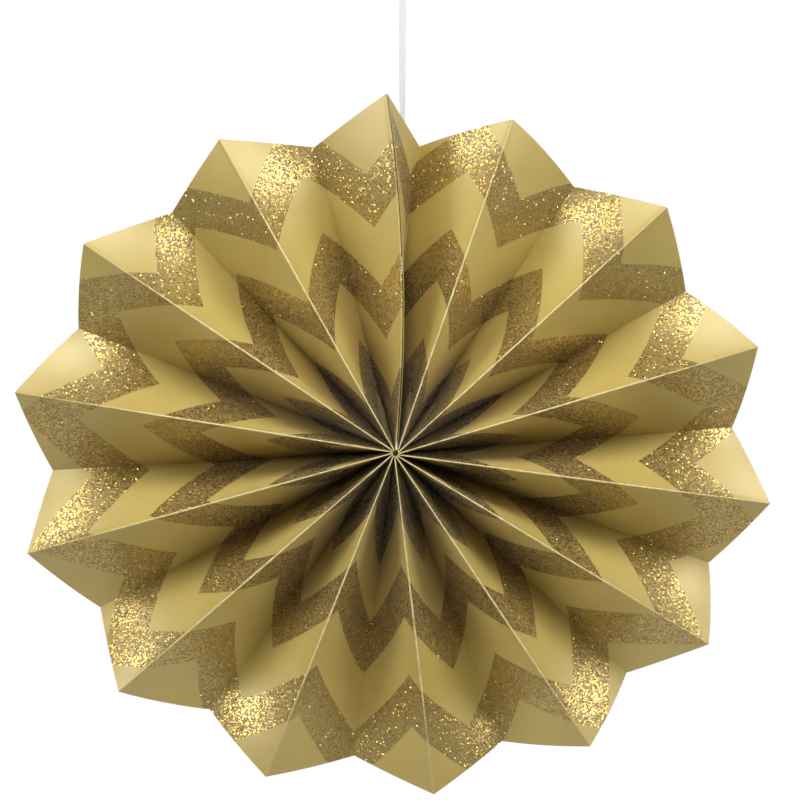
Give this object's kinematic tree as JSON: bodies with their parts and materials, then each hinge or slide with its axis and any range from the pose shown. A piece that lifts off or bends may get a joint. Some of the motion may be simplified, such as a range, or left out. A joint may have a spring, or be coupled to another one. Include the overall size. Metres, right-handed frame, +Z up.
{
  "type": "paper fan medallion",
  "caption": "Round hanging decoration: a pleated strip of gold card opened into a full fan, printed with glitter chevron bands, hung by a ribbon with a loop.",
  "frame": {"origin": "middle of the oval that the fan's fold ends lie on, midway between front and back", "axes": "+X to the viewer's right, +Y from the printed front to the back, +Z up"},
  "size_m": [0.4008, 0.047, 0.468],
  "materials": {
    "gold_card": "satin print",
    "tape": "translucent",
    "thread": "twisted",
    "ribbon": "satin ribbed"
  },
  "bodies": {
    "root": {"pleated_fan": "gold_card", "seam_tape": "tape", "hub_thread": "thread", "hanging_ribbon": "ribbon", "ribbon_loop": "ribbon"}
  },
  "joints": []
}
